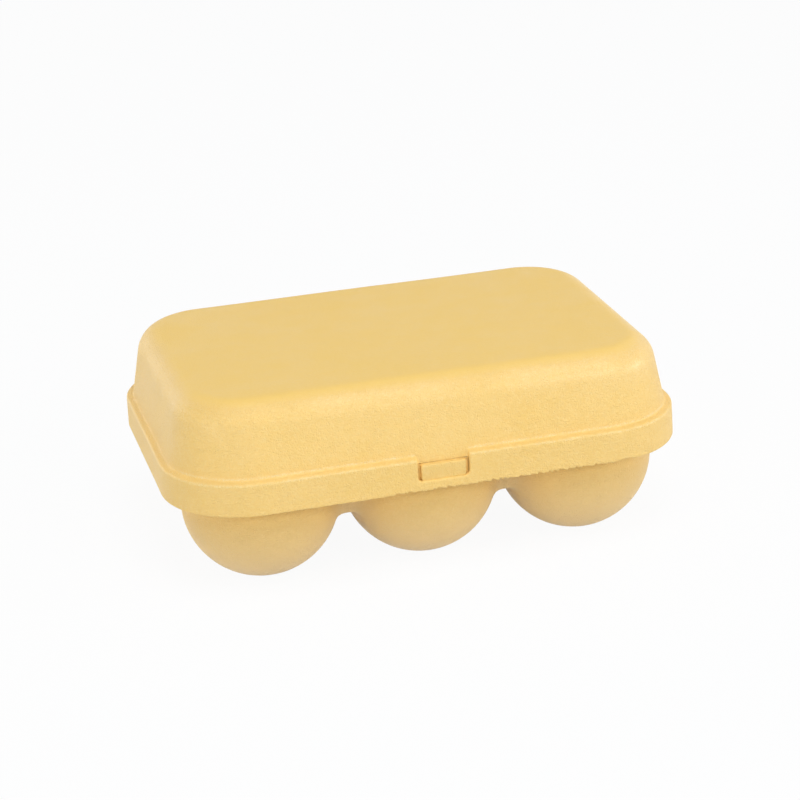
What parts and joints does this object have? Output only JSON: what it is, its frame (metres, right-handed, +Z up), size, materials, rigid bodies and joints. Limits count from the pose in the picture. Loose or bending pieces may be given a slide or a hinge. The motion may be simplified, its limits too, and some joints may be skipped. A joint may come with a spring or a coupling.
{
  "type": "egg box",
  "caption": "Closed moulded-pulp egg box with round cups in two rows, a domed lid on a rear crease, and a front latch window.",
  "frame": {"origin": "middle of the box on the plane that the cups stand on", "axes": "+X along the box, +Y from the latch at the front to the crease at the back, +Z up"},
  "size_m": [0.16, 0.1142, 0.0622],
  "materials": {
    "tray_pulp": "matte moulded paper pulp, warm yellow",
    "lid_pulp": "matte moulded paper pulp, warm yellow"
  },
  "bodies": {
    "tray": {"egg_tray": "tray_pulp"},
    "lid": {"lid": "lid_pulp"}
  },
  "joints": [
    {"name": "lid_hinge", "type": "hinge", "parent": "tray", "child": "lid", "pos_m": [0, 0.0571, 0.03166], "axis": [-1, 0, 0], "range_deg": [0, 170]}
  ]
}
